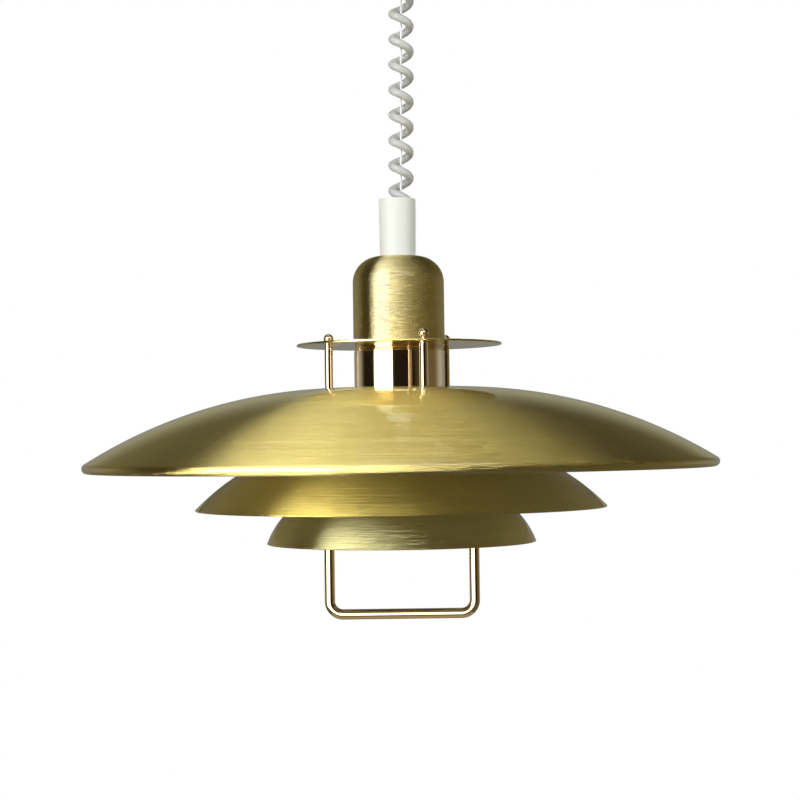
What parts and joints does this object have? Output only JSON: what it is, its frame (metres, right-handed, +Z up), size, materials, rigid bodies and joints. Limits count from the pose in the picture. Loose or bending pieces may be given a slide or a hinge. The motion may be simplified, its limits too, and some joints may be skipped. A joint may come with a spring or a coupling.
{
  "type": "rise and fall pendant",
  "caption": "Stacked brass shade pendant on a steel wire and curly cord, pulled up and down by a square handle under a spring balancer canopy.",
  "frame": {"origin": "middle of the round ceiling plate, on the ceiling", "axes": "+Z up out of the ceiling face, the wire hangs down the Z axis, the handle lies along X, the picture looks along +Y"},
  "size_m": [0.39, 0.39, 0.491],
  "materials": {
    "satin_brass": "circular brushed satin outside, white enamel inside",
    "polished_brass": "mirror polished",
    "white_plastic": "semi gloss",
    "grey_plastic": "matte moulded",
    "terminal_plastic": "matte moulded",
    "cord_sheath": "soft satin PVC",
    "zinc_steel": "bright zinc plated",
    "spring_steel": "blued strip",
    "steel_wire": "fine stranded",
    "holder_plastic": "matte thermoset",
    "contact_brass": "bright"
  },
  "bodies": {
    "ceiling": {"ceiling_plate": "zinc_steel", "canopy": "white_plastic", "canopy_screws": "zinc_steel", "drum_yoke": "zinc_steel", "yoke_rivets": "zinc_steel", "housing_front": "grey_plastic", "housing_back": "grey_plastic", "drum_axle": "zinc_steel", "axle_nut": "zinc_steel", "spiral_spring": "spring_steel", "wire_upper": "steel_wire", "outlet_bushing": "white_plastic", "wire_guide": "grey_plastic", "cord_clamp": "grey_plastic", "terminal_block": "terminal_plastic", "terminal_screws": "zinc_steel", "inner_lead": "cord_sheath"},
    "drum": {"wire_drum": "grey_plastic", "wound_wire": "steel_wire"},
    "hanger": {"suspension_wire": "steel_wire", "curly_cord": "cord_sheath"},
    "lamp": {"cord_sleeve": "white_plastic", "sleeve_screw": "zinc_steel", "cord_insert": "white_plastic", "wire_ferrule": "zinc_steel", "cord_tail": "cord_sheath", "lamp_stem": "zinc_steel", "stem_nut": "zinc_steel", "lamp_leads": "cord_sheath", "lamp_cup": "satin_brass", "holder_cap": "holder_plastic", "holder_body": "holder_plastic", "thread_shell": "contact_brass", "centre_contact": "contact_brass", "shade_ring": "holder_plastic", "carrier_plate": "zinc_steel", "reflector_disc": "satin_brass", "groove_ring": "polished_brass", "neck_tube": "polished_brass", "tie_rods": "polished_brass", "ball_nuts": "polished_brass", "main_shade": "satin_brass", "second_shade": "satin_brass", "third_shade": "satin_brass", "upper_spacers": "zinc_steel", "lower_spacers": "zinc_steel", "tie_washers": "zinc_steel", "tie_nuts": "zinc_steel", "pull_handle": "polished_brass", "handle_nuts": "zinc_steel"}
  },
  "joints": [
    {"name": "swing", "type": "hinge", "parent": "ceiling", "child": "hanger", "pos_m": [0, 0, -0.0915], "axis": [0, 1, 0], "range_deg": [-8, 8]},
    {"name": "rise_fall", "type": "slide", "parent": "hanger", "child": "lamp", "axis": [0, 0, 1], "range_m": [-0.1, 0.06], "deforming": ["curly_cord", "suspension_wire"]},
    {"name": "drum_spin", "type": "hinge", "parent": "ceiling", "child": "drum", "pos_m": [0.0213, 0, -0.045], "axis": [0, 1, 0], "range_deg": [-275, 170]}
  ],
  "couplings": [
    {"joint": "drum_spin", "follows": "rise_fall", "rad_per_m": 46.948}
  ]
}
